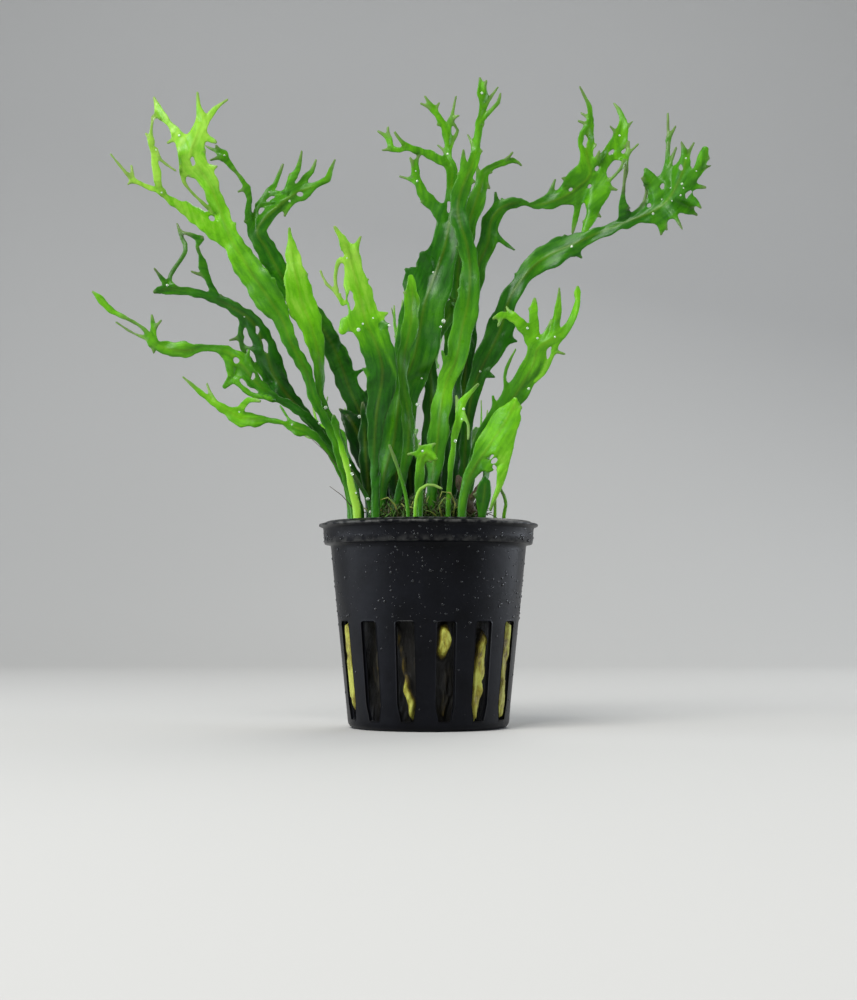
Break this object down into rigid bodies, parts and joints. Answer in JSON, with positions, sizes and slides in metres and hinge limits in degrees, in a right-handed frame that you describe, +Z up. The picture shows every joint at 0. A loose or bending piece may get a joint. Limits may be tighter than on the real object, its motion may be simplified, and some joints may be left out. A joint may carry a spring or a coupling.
{
  "type": "potted java fern",
  "caption": "Crested java fern with narrow, antler-tipped upright fronds, rooted in a mineral wool plug in a small slotted black net pot.",
  "frame": {"origin": "centre of the pot's foot, on the surface that it stands on", "axes": "+Z up along the pot's axis, front at -Y, +X to the right as the front is seen"},
  "size_m": [0.1523, 0.0845, 0.1612],
  "materials": {
    "plastic": "satin",
    "wool": "matte",
    "wood": "matte",
    "leaf": "satin"
  },
  "bodies": {
    "root": {"pot": "plastic", "rockwool": "wool", "rhizome": "wood", "frond_left_tall": "leaf", "frond_left_back": "leaf", "frond_left_pointed": "leaf", "frond_left_middle": "leaf", "frond_left_low": "leaf", "frond_left_lowest": "leaf", "frond_left_pale": "leaf", "frond_left_thin": "leaf", "frond_left_dark": "leaf", "frond_left_inner": "leaf", "frond_centre_bright": "leaf", "frond_centre_broad": "leaf", "frond_centre_slim": "leaf", "frond_centre_crest": "leaf", "frond_centre_right": "leaf", "frond_centre_back": "leaf", "frond_right_arch": "leaf", "frond_right_back": "leaf", "frond_right_crest": "leaf", "frond_right_bent": "leaf", "frond_right_narrow": "leaf", "frond_rim_leaf": "leaf", "frond_rim_stem_outer": "leaf", "frond_rim_stem_inner": "leaf", "frond_star_leaf": "leaf", "frond_curled_stalk": "leaf", "frond_thin_stalk": "leaf", "frond_base_left": "leaf", "frond_base_middle": "leaf", "frond_base_right": "leaf", "frond_back_tall_a": "leaf", "frond_back_tall_b": "leaf", "frond_back_low_a": "leaf", "frond_back_low_b": "leaf", "frond_back_low_c": "leaf", "frond_back_side_left": "leaf", "frond_back_side_right": "leaf"}
  },
  "joints": []
}
